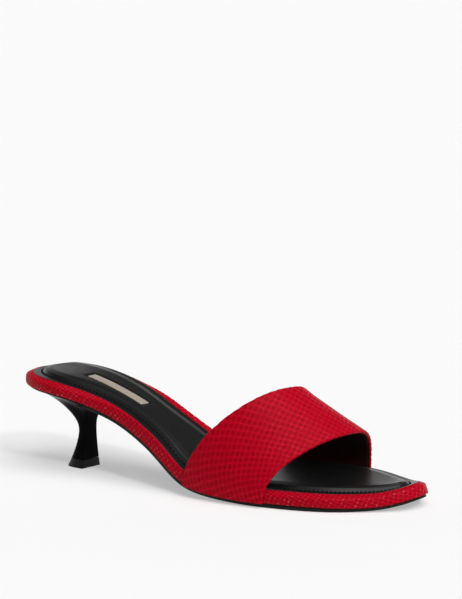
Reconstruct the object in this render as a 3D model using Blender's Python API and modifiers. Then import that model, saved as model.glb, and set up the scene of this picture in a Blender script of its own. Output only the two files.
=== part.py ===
"""Slide mule for the right foot: one wide strap, a wrapped footbed and a kitten heel.

The origin is on the floor in the middle of the heel's foot. +X points to the toe,
+Y to the inner side of the foot and +Z up. All sizes are in metres.
"""
import math

import bmesh
import bpy
import numpy as np

# Driving sizes of the sole
SHOE_LENGTH = 0.245
BALL_WIDTH = 0.080
SEAT_WIDTH = 0.0555
SEAT_HEIGHT = 0.045
TOE_SPRING = 0.0055
FOOTBED_THICKNESS = 0.0074
OUTSOLE_THICKNESS = 0.0022
OUTSOLE_INSET = 0.0015
FIT_GAP = 0.0003

# Driving sizes of the insole and its plate
INSOLE_THICKNESS = 0.0010
RAND_TOP = 0.0050
RAND_ROLL = 0.0006
INSOLE_MARGIN = 0.0052
PAD_SLOPE = 0.0030
PAD_RISE = 0.0023
PLATE_LENGTH = 0.037
PLATE_WIDTH = 0.0062
PLATE_THICKNESS = 0.0004
PLATE_FROM_HEEL_BACK = 0.0585
PLATE_OFFSET = -0.0040

# Driving sizes of the strap
STRAP_WALL = 0.0021
STRAP_CLEARANCE = 0.0005
STRAP_SKIVE = 0.65
STRAP_REAR_HEIGHT = 0.0497
STRAP_FRONT_HEIGHT = 0.0299
STRAP_REAR_PLACE = 0.1255
STRAP_FRONT_PLACE = 0.1760
STRAP_REAR_SLANT = 0.0102
STRAP_FRONT_SLANT = 0.0162
STRAP_REAR_BOW = 0.0355
STRAP_FRONT_BOW = 0.0146
STRAP_BULGE = 0.0005

# Driving sizes of the heel
HEEL_FROM_BACK = 0.036
HEEL_TURN = math.radians(-6.5)
HEEL_FOOT_SHIFT = -0.0024
HEEL_SEAT_INSET = 0.0020
HEEL_SEAT_LIP = 0.0008
HEEL_BREAST = 0.052
FOOT_FRONT = 0.0056
FOOT_BACK = 0.0084
FOOT_WIDTH = 0.0145
NECK_HEIGHT = 0.0200
NECK_FRONT = 0.0059
NECK_BACK = 0.0010
NECK_WIDTH = 0.0090
TOP_LIFT_HEIGHT = 0.0045

# How the forms ease into each other, as plain shares and powers
WAIST_START = 0.20
WAIST_END = 0.60
PROFILE_EASE = 0.03
EASE_SAMPLES = 7
OUTSOLE_BEVEL = 0.25
INSOLE_BEVEL = 0.4
HEEL_SQUARENESS = 3.0
FOOT_FLARE = 1.5
SWEEP_BACK = 1.7
SWEEP_SIDE = 3.6
SWEEP_RISES = (0.12, 0.25, 0.38, 0.50, 0.61, 0.71, 0.80, 0.87, 0.93, 0.97, 1.0)
STEM_RINGS = 6
LIFT_RINGS = 3
STRAP_SHOULDER = (2.65, 2.45)
STRAP_CROWN = (1.64, 2.12)
STRAP_LEAN = (0.05, -0.09)
SKIVE_REACH = 0.6
SHARP_ANGLE = math.radians(40)
SHARE_STEP = 0.002
ANGLE_STEP = 0.001

# Fineness of the meshes
OUTLINE_STEPS = 56
STRAP_STEPS_ACROSS = 36
STRAP_STEPS_ALONG = 12
HEEL_STEPS = 32
PLATE_STEPS = 10

# Plan of the footbed: share of the length, outer and inner half width as shares of the local width
OUTLINE = (
    (0.000, -0.030, 0.030),
    (0.015, 0.195, 0.285),
    (0.060, 0.385, 0.488),
    (0.140, 0.494, 0.492),
    (0.270, 0.423, 0.403),
    (0.420, 0.453, 0.250),
    (0.550, 0.492, 0.418),
    (0.660, 0.502, 0.498),
    (0.750, 0.478, 0.515),
    (0.850, 0.394, 0.460),
    (0.930, 0.235, 0.342),
    (0.980, 0.106, 0.220),
    (1.000, -0.060, 0.060),
)

# Underside of the footbed: share of the length, share of the seat's rise, share of the toe spring
PROFILE = (
    (0.00, 1.000, 0.00),
    (0.12, 0.970, 0.00),
    (0.27, 0.770, 0.00),
    (0.40, 0.460, 0.00),
    (0.52, 0.072, 0.00),
    (0.62, 0.014, 0.00),
    (0.69, 0.000, 0.00),
    (0.86, 0.000, 0.00),
    (0.94, 0.000, 0.15),
    (1.00, 0.000, 1.00),
)

# Side of the footbed: share of the length, outer and inner thickness as shares of its named size
FOOTBED_DEPTH = (
    (0.00, 0.87, 0.87),
    (0.15, 0.82, 1.00),
    (0.30, 0.87, 1.13),
    (0.40, 0.90, 1.17),
    (0.46, 0.82, 1.13),
    (0.55, 0.84, 1.06),
    (0.70, 0.88, 1.02),
    (0.86, 0.86, 1.00),
    (1.00, 0.92, 0.96),
)

# Top of the rand: share of the length, outer and inner width as shares of its named size
RAND_SPAN = (
    (0.00, 0.76, 0.76),
    (0.12, 0.78, 0.90),
    (0.30, 0.50, 1.00),
    (0.48, 0.40, 1.00),
    (0.66, 0.80, 0.95),
    (0.88, 0.95, 0.90),
    (1.00, 0.55, 0.55),
)

# Outsole: share of the length, thickness as a share of its named size
OUTSOLE_DEPTH = (
    (0.00, 1.00),
    (0.80, 1.00),
    (0.93, 0.64),
    (1.00, 0.50),
)

# Rounded side of the footbed: inset as a share of the rand's top, height as a share of the thickness
FOOTBED_SIDE = (
    (0.160, 0.000),
    (0.045, 0.100),
    (0.000, 0.350),
    (0.012, 0.620),
    (0.090, 0.860),
    (0.200, 0.965),
    (0.400, 1.000),
)


def table_curve(rows, column):
    """Monotone cubic through one column of a table, as a function of its first column."""
    x = np.array([row[0] for row in rows])
    y = np.array([row[column] for row in rows])
    step = np.diff(x)
    slope = np.diff(y) / step
    tangent = np.zeros(len(x))
    for i in range(1, len(x) - 1):
        if slope[i - 1] * slope[i] > 0:
            before = 2 * step[i] + step[i - 1]
            after = step[i] + 2 * step[i - 1]
            tangent[i] = (before + after) / (before / slope[i - 1] + after / slope[i])
    tangent[0], tangent[-1] = slope[0], slope[-1]

    def value(at):
        at = np.clip(at, x[0], x[-1])
        i = np.clip(np.searchsorted(x, at, side="right") - 1, 0, len(x) - 2)
        t = (at - x[i]) / step[i]
        return (
            y[i] * (1 + 2 * t) * (1 - t) ** 2
            + tangent[i] * step[i] * t * (1 - t) ** 2
            + y[i + 1] * t * t * (3 - 2 * t)
            + tangent[i + 1] * step[i] * t * t * (t - 1)
        )

    return value


def round_curve(rows, column):
    """Smooth spline through one column, in the angle that rounds the outline's two ends."""
    angle = np.arccos(1 - 2 * np.array([row[0] for row in rows]))
    y = np.array([row[column] for row in rows])
    n = len(angle)
    step = np.diff(angle)
    system = np.zeros((n, n))
    right_side = np.zeros(n)
    system[0, :3] = step[1], -step[0] - step[1], step[0]
    system[-1, -3:] = step[-1], -step[-2] - step[-1], step[-2]
    for i in range(1, n - 1):
        system[i, i - 1 : i + 2] = step[i - 1], 2 * (step[i - 1] + step[i]), step[i]
        right_side[i] = 6 * ((y[i + 1] - y[i]) / step[i] - (y[i] - y[i - 1]) / step[i - 1])
    bend = np.linalg.solve(system, right_side)

    def value(at):
        i = np.clip(np.searchsorted(angle, at, side="right") - 1, 0, n - 2)
        a = (angle[i + 1] - at) / step[i]
        b = (at - angle[i]) / step[i]
        curve = ((a**3 - a) * bend[i] + (b**3 - b) * bend[i + 1]) * step[i] ** 2 / 6
        return a * y[i] + b * y[i + 1] + curve

    return value


SEAT_RISE_AT = table_curve(PROFILE, 1)
TOE_SPRING_AT = table_curve(PROFILE, 2)
OUTER_DEPTH_AT = table_curve(FOOTBED_DEPTH, 1)
INNER_DEPTH_AT = table_curve(FOOTBED_DEPTH, 2)
RAND_OUTER_AT = table_curve(RAND_SPAN, 1)
RAND_INNER_AT = table_curve(RAND_SPAN, 2)
OUTSOLE_AT = table_curve(OUTSOLE_DEPTH, 1)
OUTER_AT = round_curve(OUTLINE, 1)
INNER_AT = round_curve(OUTLINE, 2)


def width_at(share):
    """Local width that the outline's shares are taken of, from the seat to the ball."""
    t = np.clip((share - WAIST_START) / (WAIST_END - WAIST_START), 0, 1)
    return SEAT_WIDTH + (BALL_WIDTH - SEAT_WIDTH) * t * t * (3 - 2 * t)


def eased(curve, share):
    """Curve averaged over a short stretch that closes up at both ends of the shoe."""
    share = np.clip(share, 0, 1)
    reach = np.minimum(PROFILE_EASE, np.minimum(share, 1 - share))
    total = 0
    for offset in np.linspace(-1, 1, EASE_SAMPLES):
        total = total + curve(share + offset * reach)
    return total / EASE_SAMPLES


def outsole_depth(share):
    return eased(OUTSOLE_AT, share) * OUTSOLE_THICKNESS


def underside_at(share):
    """Height of the footbed's underside over the floor."""
    rest = OUTSOLE_THICKNESS + FIT_GAP
    rise = eased(SEAT_RISE_AT, share) * (SEAT_HEIGHT - rest)
    thinned = OUTSOLE_THICKNESS - outsole_depth(share)
    return rest + rise + eased(TOE_SPRING_AT, share) * TOE_SPRING - thinned


def sole_place(along, across, height):
    """Point at a distance from the heel's back, across the shoe and up from the underside."""
    share = along / SHOE_LENGTH
    ahead = underside_at(share + SHARE_STEP)
    behind = underside_at(share - SHARE_STEP)
    slope = (ahead - behind) / (2 * SHARE_STEP * SHOE_LENGTH)
    lean = np.arctan(slope)
    x = along - HEEL_FROM_BACK - height * np.sin(lean)
    z = underside_at(share) + height * np.cos(lean)
    return np.stack([x, across + 0 * along, z], axis=-1)


def half_outline(side, angle):
    """Plan points of one side of the footbed, +1 for the inner side and -1 for the outer."""
    share = (1 - np.cos(angle)) / 2
    half = INNER_AT(angle) if side > 0 else OUTER_AT(angle)
    return np.stack([share * SHOE_LENGTH, side * half * width_at(share)], axis=-1)


def inset_outline(inset, start=0.0, snug=False):
    """Outline moved inwards: from the start down the outer side and back up the inner side.

    Where it is snug, it is moved less, by what the rand's top is narrower there.
    """
    angles = np.linspace(math.acos(1 - 2 * start), math.pi, OUTLINE_STEPS + 1)
    sides = []
    for side in (-1, 1):
        ahead = half_outline(side, np.clip(angles + ANGLE_STEP, 0, math.pi))
        behind = half_outline(side, np.clip(angles - ANGLE_STEP, 0, math.pi))
        tangent = ahead - behind
        normal = side * np.stack([-tangent[:, 1], tangent[:, 0]], axis=-1)
        normal /= np.linalg.norm(normal, axis=1)[:, None]
        moved = np.full(len(angles), inset)
        if snug:
            span = RAND_INNER_AT if side > 0 else RAND_OUTER_AT
            moved -= min(inset, RAND_TOP) * (1 - span((1 - np.cos(angles)) / 2))
        sides.append(half_outline(side, angles) - normal * moved[:, None])
    outer, inner = sides
    way_back = inner[::-1][1:]
    if start == 0:
        way_back = way_back[:-1]
    return np.concatenate([outer, way_back])


def sole_ring(inset, height, start=0.0, snug=False):
    """Ring around the sole at an inset and at a height over the footbed's underside."""
    plan = inset_outline(inset, start, snug)
    along, across = plan[:, 0], plan[:, 1]
    return sole_place(along, across, height(along / SHOE_LENGTH, across))


def material(name, colour, roughness, metallic=0.0):
    """Plain principled material."""
    made = bpy.data.materials.new(name)
    made.use_nodes = True
    shader = made.node_tree.nodes["Principled BSDF"]
    shader.inputs["Base Color"].default_value = (*colour, 1.0)
    shader.inputs["Roughness"].default_value = roughness
    shader.inputs["Metallic"].default_value = metallic
    return made


def add_object(name, points, faces, look, collection):
    """Mesh object with its faces turned outwards."""
    mesh = bpy.data.meshes.new(name)
    mesh.from_pydata([tuple(map(float, point)) for point in points], [], faces)
    shape = bmesh.new()
    shape.from_mesh(mesh)
    bmesh.ops.recalc_face_normals(shape, faces=shape.faces)
    shape.to_mesh(mesh)
    shape.free()
    mesh.materials.append(look)
    mesh.shade_smooth()
    mesh.set_sharp_from_angle(angle=SHARP_ANGLE)
    made = bpy.data.objects.new(name, mesh)
    collection.objects.link(made)
    return made


def ladder(left, right):
    """Faces between two rows of points, whose shared ends give triangles."""
    faces = []
    for i in range(len(left) - 1):
        face = (left[i], left[i + 1], right[i + 1], right[i])
        faces.append(tuple(dict.fromkeys(face)))
    return [face for face in faces if len(face) > 2]


def lofted(name, rings, rungs, look, collection):
    """Closed loft through rings of equal count, capped by a ladder of point pairs."""
    count = len(rings[0])
    faces = []
    for row in range(len(rings) - 1):
        for i in range(count):
            j = (i + 1) % count
            low, high = row * count, (row + 1) * count
            faces.append((low + i, low + j, high + j, high + i))
    for first in (0, (len(rings) - 1) * count):
        left = [first + pair[0] for pair in rungs]
        right = [first + pair[1] for pair in rungs]
        faces += ladder(left, right)
    return add_object(name, np.concatenate(rings), faces, look, collection)


def sole_rungs(count):
    """Pairs of points that face each other across the sole."""
    return [(k, (2 * OUTLINE_STEPS - k) % count) for k in range(OUTLINE_STEPS + 1)]


def footbed_depth(share, across):
    """Thickness of the footbed, which is built up towards the inner side of the foot."""
    outer, inner = eased(OUTER_DEPTH_AT, share), eased(INNER_DEPTH_AT, share)
    towards_inner = 0.5 + across / width_at(share)
    return (outer + (inner - outer) * towards_inner) * FOOTBED_THICKNESS


def insole_floor(share, across):
    """Height of the insole's underside, sunk so that its margin is level with the rand's inner edge."""
    return footbed_depth(share, across) - RAND_ROLL - INSOLE_THICKNESS


def make_outsole(look, collection):
    """Thin sole from the front of the heel to the toe."""
    start = HEEL_BREAST / SHOE_LENGTH
    bevel = OUTSOLE_THICKNESS * OUTSOLE_BEVEL
    rows = (
        (OUTSOLE_INSET, 0.0),
        (OUTSOLE_INSET, 1.0 - OUTSOLE_BEVEL),
        (OUTSOLE_INSET + bevel, 1.0),
    )
    rings = []
    for inset, level in rows:
        rings.append(sole_ring(inset, lambda share, across: -FIT_GAP - level * outsole_depth(share), start))
    return lofted("outsole", rings, sole_rungs(len(rings[0])), look, collection)


def make_footbed(look, collection):
    """Midsole wrapped in leather, with a rounded side that rolls over to the insole."""
    rings = []
    for inset, level in FOOTBED_SIDE:
        rings.append(sole_ring(inset * RAND_TOP, lambda *at: level * footbed_depth(*at), snug=True))
    rings.append(sole_ring(RAND_TOP, lambda *at: footbed_depth(*at) - RAND_ROLL, snug=True))
    rings.append(sole_ring(RAND_TOP, lambda *at: insole_floor(*at) - FIT_GAP, snug=True))
    return lofted("footbed", rings, sole_rungs(len(rings[0])), look, collection)


def make_insole(look, collection):
    """Sock with a flat margin and a padded middle."""
    rim = INSOLE_THICKNESS * INSOLE_BEVEL
    edge = RAND_TOP + FIT_GAP
    pad_foot = edge + INSOLE_MARGIN
    rows = (
        (edge, 0.0),
        (edge, INSOLE_THICKNESS - rim),
        (edge + rim, INSOLE_THICKNESS),
        (pad_foot, INSOLE_THICKNESS),
        (pad_foot + PAD_SLOPE / 2, INSOLE_THICKNESS + PAD_RISE * 0.7),
        (pad_foot + PAD_SLOPE, INSOLE_THICKNESS + PAD_RISE),
    )
    rings = []
    for inset, level in rows:
        rings.append(sole_ring(inset, lambda *at: insole_floor(*at) + level, snug=True))
    return lofted("insole", rings, sole_rungs(len(rings[0])), look, collection)


def heel_axis(local):
    """Plan points from the heel's own axes to the shoe's."""
    cosine, sine = math.cos(HEEL_TURN), math.sin(HEEL_TURN)
    turn = np.array([[cosine, sine], [-sine, cosine]])
    return local @ turn + np.array([0.0, HEEL_FOOT_SHIFT])


def d_section(front, back, width):
    """Half superellipse with its flat side to the front, from the outer to the inner corner."""
    angle = np.linspace(0, math.pi, HEEL_STEPS + 1)
    power = 2 / HEEL_SQUARENESS
    across = -np.sign(np.cos(angle)) * np.abs(np.cos(angle)) ** power * width / 2
    along = front - (front + back) * np.sin(angle).clip(0) ** power
    return heel_axis(np.stack([along, across], axis=-1))


def heel_stem_ring(height):
    """Heel section below the neck."""
    flare = (1 - min(height / NECK_HEIGHT, 1)) ** FOOT_FLARE
    front = NECK_FRONT + (FOOT_FRONT - NECK_FRONT) * flare
    back = NECK_BACK + (FOOT_BACK - NECK_BACK) * flare
    width = NECK_WIDTH + (FOOT_WIDTH - NECK_WIDTH) * flare
    plan = d_section(front, back, width)
    return np.column_stack([plan, np.full(len(plan), height)])


def seat_ring():
    """Top edge of the heel, under the footbed."""
    breast = math.acos(1 - 2 * (HEEL_BREAST - FIT_GAP) / SHOE_LENGTH)
    share = np.linspace(-1, 1, HEEL_STEPS + 1)
    plan = []
    for at in share:
        side = 1 if at > 0 else -1
        angle = abs(at) * breast
        here = half_outline(side, angle)
        ahead = half_outline(side, angle + ANGLE_STEP)
        tangent = ahead - half_outline(side, max(angle - ANGLE_STEP, 0))
        normal = side * np.array([-tangent[1], tangent[0]])
        plan.append(here - normal / np.linalg.norm(normal) * HEEL_SEAT_INSET)
    plan = np.array(plan)
    return sole_place(plan[:, 0], plan[:, 1], np.full(len(plan), -FIT_GAP))


def make_heel(look, collection):
    """Block that sweeps from the seat to a narrow neck and flares to its foot."""
    foot = TOP_LIFT_HEIGHT + FIT_GAP
    rings = [heel_stem_ring(height) for height in np.linspace(foot, NECK_HEIGHT, STEM_RINGS)]
    neck, seat = rings[-1], seat_ring()
    lip = seat - np.array([0.0, 0.0, HEEL_SEAT_LIP])
    round_back = np.sin(np.linspace(0, math.pi, HEEL_STEPS + 1)) ** 2
    power = SWEEP_SIDE + (SWEEP_BACK - SWEEP_SIDE) * round_back
    for rise in SWEEP_RISES:
        spread = (rise**power)[:, None]
        ring = neck + (lip - neck) * spread
        ring[:, 2] = neck[:, 2] + (lip[:, 2] - neck[:, 2]) * rise
        rings.append(ring)
    rings.append(seat)
    rungs = [(k, HEEL_STEPS - k) for k in range(HEEL_STEPS // 2 + 1)]
    return lofted("heel", rings, rungs, look, collection)


def make_top_lift(look, collection):
    """Tip that carries the heel on the floor."""
    rings = [heel_stem_ring(height) for height in np.linspace(0, TOP_LIFT_HEIGHT, LIFT_RINGS)]
    rungs = [(k, HEEL_STEPS - k) for k in range(HEEL_STEPS // 2 + 1)]
    return lofted("top_lift", rings, rungs, look, collection)


def strap_place(across, along):
    """Inner face of the strap, from outer base to inner base and from rear to front edge."""

    def between(rear, front):
        return rear + (front - rear) * along

    angle = math.pi * across
    ahead = np.sin(angle).clip(0)
    round_across = between(*STRAP_SHOULDER)
    reach = -np.sign(np.cos(angle)) * np.abs(np.cos(angle)) ** (2 / round_across)
    outer_end = between(STRAP_REAR_PLACE, STRAP_FRONT_PLACE)
    slant = between(STRAP_REAR_SLANT, STRAP_FRONT_SLANT)
    bow = between(STRAP_REAR_BOW, STRAP_FRONT_BOW)
    place = outer_end + slant * (1 + reach) / 2 + bow * ahead**2
    share = place / SHOE_LENGTH
    sole_angle = np.arccos(1 - 2 * share)
    inner = half_outline(1, sole_angle)[..., 1] + STRAP_CLEARANCE
    outer = half_outline(-1, sole_angle)[..., 1] - STRAP_CLEARANCE
    y = (inner + outer) / 2 + (inner - outer) / 2 * reach
    bulge = STRAP_BULGE * 4 * along * (1 - along)
    height = between(STRAP_REAR_HEIGHT, STRAP_FRONT_HEIGHT) + bulge
    lean = between(*STRAP_LEAN)
    rise = height * ahead ** (2 / between(*STRAP_CROWN)) * (1 + lean * np.cos(angle))
    base = underside_at((outer_end + slant * (1 + reach) / 2) / SHOE_LENGTH)
    return np.stack([place - HEEL_FROM_BACK, y, base + rise], axis=-1)


def make_strap(look, collection):
    """Open surface with a wall that is skived towards its two ends."""
    across = np.linspace(0, 1, STRAP_STEPS_ACROSS + 1)
    along = np.linspace(0, 1, STRAP_STEPS_ALONG + 1)
    grid = strap_place(*np.meshgrid(across, along, indexing="ij"))
    columns = STRAP_STEPS_ALONG + 1
    faces = []
    for i in range(STRAP_STEPS_ACROSS):
        for j in range(STRAP_STEPS_ALONG):
            corner = i * columns + j
            faces.append((corner, corner + 1, corner + columns + 1, corner + columns))
    mesh = bpy.data.meshes.new("strap")
    mesh.from_pydata([tuple(map(float, point)) for point in grid.reshape(-1, 3)], [], faces)
    mesh.materials.append(look)
    mesh.shade_smooth()
    strap = bpy.data.objects.new("strap", mesh)
    collection.objects.link(strap)
    full_wall = strap.vertex_groups.new(name="full wall")
    for i, place in enumerate(across):
        weight = min(math.sin(math.pi * place) / SKIVE_REACH, 1)
        full_wall.add(list(range(i * columns, (i + 1) * columns)), weight, "REPLACE")
    wall = strap.modifiers.new("wall", "SOLIDIFY")
    wall.thickness = STRAP_WALL
    wall.offset = 1
    wall.use_even_offset = True
    wall.vertex_group = full_wall.name
    wall.thickness_vertex_group = STRAP_SKIVE
    return strap


def make_plate(look, collection):
    """Bare plate that lies on the padded middle of the insole."""
    lift = INSOLE_THICKNESS + PAD_RISE + FIT_GAP
    rings = []
    for along in np.linspace(-PLATE_LENGTH / 2, PLATE_LENGTH / 2, PLATE_STEPS + 1):
        corners = np.array([[along, -PLATE_WIDTH / 2], [along, PLATE_WIDTH / 2]])
        plan = heel_axis(corners) - heel_axis(np.zeros(2))
        plan = plan + np.array([PLATE_FROM_HEEL_BACK, PLATE_OFFSET])
        level = insole_floor(plan[:, 0] / SHOE_LENGTH, plan[:, 1]) + lift
        low = sole_place(plan[:, 0], plan[:, 1], level)
        high = sole_place(plan[:, 0], plan[:, 1], level + PLATE_THICKNESS)
        rings.append(np.array([low[0], low[1], high[1], high[0]]))
    return lofted("label_plate", rings, [(0, 3), (1, 2)], look, collection)


def main():
    for old in list(bpy.data.objects):
        bpy.data.objects.remove(old, do_unlink=True)
    collection = bpy.data.collections.new("thin heel sandal")
    bpy.context.scene.collection.children.link(collection)
    red = material("red embossed leather", (0.48, 0.004, 0.012), 0.4)
    black_leather = material("black sock leather", (0.025, 0.025, 0.028), 0.45)
    make_outsole(material("black sole", (0.012, 0.012, 0.013), 0.55), collection)
    make_footbed(red, collection)
    make_insole(black_leather, collection)
    make_strap(material("red strap leather", (0.48, 0.004, 0.012), 0.4), collection)
    make_heel(material("gloss black heel", (0.006, 0.006, 0.007), 0.12), collection)
    make_top_lift(material("black rubber", (0.010, 0.010, 0.010), 0.6), collection)
    make_plate(material("pale gold plate", (0.60, 0.52, 0.33), 0.35, 0.5), collection)


main()
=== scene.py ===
import math

import bmesh
import bpy
import numpy as np
from mathutils import Matrix, Vector


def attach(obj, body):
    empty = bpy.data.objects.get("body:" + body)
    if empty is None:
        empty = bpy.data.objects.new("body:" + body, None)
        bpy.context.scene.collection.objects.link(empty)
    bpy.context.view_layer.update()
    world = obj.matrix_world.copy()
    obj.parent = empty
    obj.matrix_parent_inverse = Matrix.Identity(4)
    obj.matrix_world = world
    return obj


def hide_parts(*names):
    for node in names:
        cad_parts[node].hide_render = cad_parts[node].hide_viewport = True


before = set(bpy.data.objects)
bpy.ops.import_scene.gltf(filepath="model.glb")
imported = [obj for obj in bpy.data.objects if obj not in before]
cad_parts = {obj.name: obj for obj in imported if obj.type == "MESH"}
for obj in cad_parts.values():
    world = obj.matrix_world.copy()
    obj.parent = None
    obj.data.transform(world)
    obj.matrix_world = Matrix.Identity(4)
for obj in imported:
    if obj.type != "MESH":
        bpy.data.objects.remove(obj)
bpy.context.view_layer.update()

# Looks of a right slide mule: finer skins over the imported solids, their materials, light and camera.
# The solids' own sizes come first, in metres, and are the same as the model's.

# Sizes of the sole
SHOE_LENGTH = 0.245
BALL_WIDTH = 0.080
SEAT_WIDTH = 0.0555
SEAT_HEIGHT = 0.045
TOE_SPRING = 0.0055
FOOTBED_THICKNESS = 0.0074
OUTSOLE_THICKNESS = 0.0022
OUTSOLE_INSET = 0.0015
FIT_GAP = 0.0003
WAIST_START = 0.20
WAIST_END = 0.60
PROFILE_EASE = 0.03
EASE_SAMPLES = 7

# Sizes of the insole and its plate
INSOLE_THICKNESS = 0.0010
RAND_TOP = 0.0050
RAND_ROLL = 0.0006
INSOLE_MARGIN = 0.0052
PAD_RISE = 0.0023
PLATE_LENGTH = 0.037
PLATE_WIDTH = 0.0062
PLATE_FROM_HEEL_BACK = 0.0585
PLATE_OFFSET = -0.0040

# Sizes of the strap
STRAP_WALL = 0.0021
STRAP_CLEARANCE = 0.0005
STRAP_SKIVE = 0.65
STRAP_REAR_HEIGHT = 0.0497
STRAP_FRONT_HEIGHT = 0.0299
STRAP_REAR_PLACE = 0.1255
STRAP_FRONT_PLACE = 0.1760
STRAP_REAR_SLANT = 0.0102
STRAP_FRONT_SLANT = 0.0162
STRAP_REAR_BOW = 0.0355
STRAP_FRONT_BOW = 0.0146
STRAP_BULGE = 0.0005
STRAP_SHOULDER = (2.65, 2.45)
STRAP_CROWN = (1.64, 2.12)
STRAP_LEAN = (0.05, -0.09)
SKIVE_REACH = 0.6

# Sizes of the heel
HEEL_FROM_BACK = 0.036
HEEL_TURN = math.radians(-6.5)
HEEL_COS, HEEL_SIN = math.cos(HEEL_TURN), math.sin(HEEL_TURN)
HEEL_FOOT_SHIFT = -0.0024
HEEL_SEAT_INSET = 0.0020
HEEL_SEAT_LIP = 0.0008
HEEL_BREAST = 0.052
FOOT_FRONT = 0.0056
FOOT_BACK = 0.0084
FOOT_WIDTH = 0.0145
NECK_HEIGHT = 0.0200
NECK_FRONT = 0.0059
NECK_BACK = 0.0010
NECK_WIDTH = 0.0090
TOP_LIFT_HEIGHT = 0.0045
HEEL_SQUARENESS = 3.0
FOOT_FLARE = 1.5
SWEEP_BACK = 1.7
SWEEP_SIDE = 3.6

# Plan of the footbed: share of the length, outer and inner half width as shares of the local width
OUTLINE = (
    (0.000, -0.030, 0.030),
    (0.015, 0.195, 0.285),
    (0.060, 0.385, 0.488),
    (0.140, 0.494, 0.492),
    (0.270, 0.423, 0.403),
    (0.420, 0.453, 0.250),
    (0.550, 0.492, 0.418),
    (0.660, 0.502, 0.498),
    (0.750, 0.478, 0.515),
    (0.850, 0.394, 0.460),
    (0.930, 0.235, 0.342),
    (0.980, 0.106, 0.220),
    (1.000, -0.060, 0.060),
)

# Underside of the footbed: share of the length, share of the seat's rise, share of the toe spring
PROFILE = (
    (0.00, 1.000, 0.00),
    (0.12, 0.970, 0.00),
    (0.27, 0.770, 0.00),
    (0.40, 0.460, 0.00),
    (0.52, 0.072, 0.00),
    (0.62, 0.014, 0.00),
    (0.69, 0.000, 0.00),
    (0.86, 0.000, 0.00),
    (0.94, 0.000, 0.15),
    (1.00, 0.000, 1.00),
)

# Side of the footbed: share of the length, outer and inner thickness as shares of its named size
FOOTBED_DEPTH = (
    (0.00, 0.87, 0.87),
    (0.15, 0.82, 1.00),
    (0.30, 0.87, 1.13),
    (0.40, 0.90, 1.17),
    (0.46, 0.82, 1.13),
    (0.55, 0.84, 1.06),
    (0.70, 0.88, 1.02),
    (0.86, 0.86, 1.00),
    (1.00, 0.92, 0.96),
)

# Top of the rand: share of the length, outer and inner width as shares of its named size
RAND_SPAN = (
    (0.00, 0.76, 0.76),
    (0.12, 0.78, 0.90),
    (0.30, 0.50, 1.00),
    (0.48, 0.40, 1.00),
    (0.66, 0.80, 0.95),
    (0.88, 0.95, 0.90),
    (1.00, 0.55, 0.55),
)

# Outsole: share of the length, thickness as a share of its named size
OUTSOLE_DEPTH = (
    (0.00, 1.00),
    (0.80, 1.00),
    (0.93, 0.64),
    (1.00, 0.50),
)

# Rounded side of the footbed: inset as a share of the rand's top, height as a share of the thickness
FOOTBED_SIDE = (
    (0.160, 0.000),
    (0.045, 0.100),
    (0.000, 0.350),
    (0.012, 0.620),
    (0.090, 0.860),
    (0.200, 0.965),
    (0.400, 1.000),
)

# From here on the sizes are the scene's own

# Embossed scales: width along their rows, height across them, the rows' rise and their skew
STRAP_SCALE = (0.00245, 0.0039, math.radians(25), 0.093)
STRAP_RELIEF = 0.00024
RAND_SCALE = (0.0020, 0.0024, math.radians(65), 0.0)
RAND_RELIEF = 0.00019
SCALE_WANDER = 0.00014
HOLLOW_REACH = 0.90
HOLLOW_LEAST = 0.92
HOLLOW_SPREAD = 0.16
HOLLOW_POWER = 2.4
HOLLOW_OUTER = 1.15
HOLLOW_EASE = 0.7
HOLLOW_SHALLOW = 0.42
HOLLOW_DEEPER = 0.28
NET_LEVEL = 0.80
RELIEF_FADE_ROWS = 2.0
HIDDEN_RELIEF = 0.3
LINED_RELIEF = 0.4
HIDDEN_TINT = 0.5
TINT_CELLS = 64
TINTS = np.random.default_rng(11).random((TINT_CELLS, TINT_CELLS))

# Where the sole lies flat, the rand falls outwards and the insole stands over it on its inner side
RAND_ROLL_POWER = 1.5
RAND_FALL = 0.0016
RAND_FALL_POWER = 4
SOCK_EDGE = 0.0005
SLOPE_START = 0.20
SLOPE_START_EASE = 0.16
SLOPE_END = 0.62
SLOPE_END_EASE = 0.12
PROUD_EASE = 2.5

# Stitching of the insole and its soft padding
STITCH_PITCH = 0.0022
STITCH_LENGTH = 0.0014
STITCH_RADIUS = 0.00042
STITCH_SINK = 0.0003
STITCH_SIDES = 8
STITCH_ROWS = np.array([-1.0, -0.86, -0.45, 0.0, 0.45, 0.86, 1.0])
GROOVE_FROM_PAD = 0.0006
GROOVE_INSET = RAND_TOP + FIT_GAP + INSOLE_MARGIN - GROOVE_FROM_PAD
GROOVE_DEPTH = 0.0004
GROOVE_HALF_WIDTH = 0.0006
PAD_ROLL_START = 0.0002
PAD_ROLL_WIDTH = 0.0022
PAD_ROLL_SHARE = 0.72
PAD_CROWN_START = 0.0010
PAD_CROWN_WIDTH = 0.0060

# Rounded edge of the insole: inset and drop of its rings, and where the rings inside it start and end
SOCK_ROUND = ((0.0, 0.0004), (0.00008, 0.00012), (0.0004, 0.0))
SOCK_MARGIN_START = 0.0008
SOCK_MARGIN_END = 0.0012
GROOVE_REACH = 0.0009
PAD_START = 0.0013
PAD_END = 0.0034

# Window round the plate: gaps past the plate's ends and sides, depth, softness and crease
WINDOW_END_GAP = 0.0009
WINDOW_SIDE_GAP = 0.0011
WINDOW_DEPTH = 0.0007
WINDOW_EASE = 0.0008
WINDOW_CREASE = 0.0005
WINDOW_CREASE_WIDTH = 0.0005

# Plate: corner radius, and inset and level of its edge
PLATE_CORNER = 0.0005
PLATE_EDGE = ((0.0, 0.00005), (0.0, 0.00028), (0.00006, 0.00038), (0.0002, 0.00042))

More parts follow.
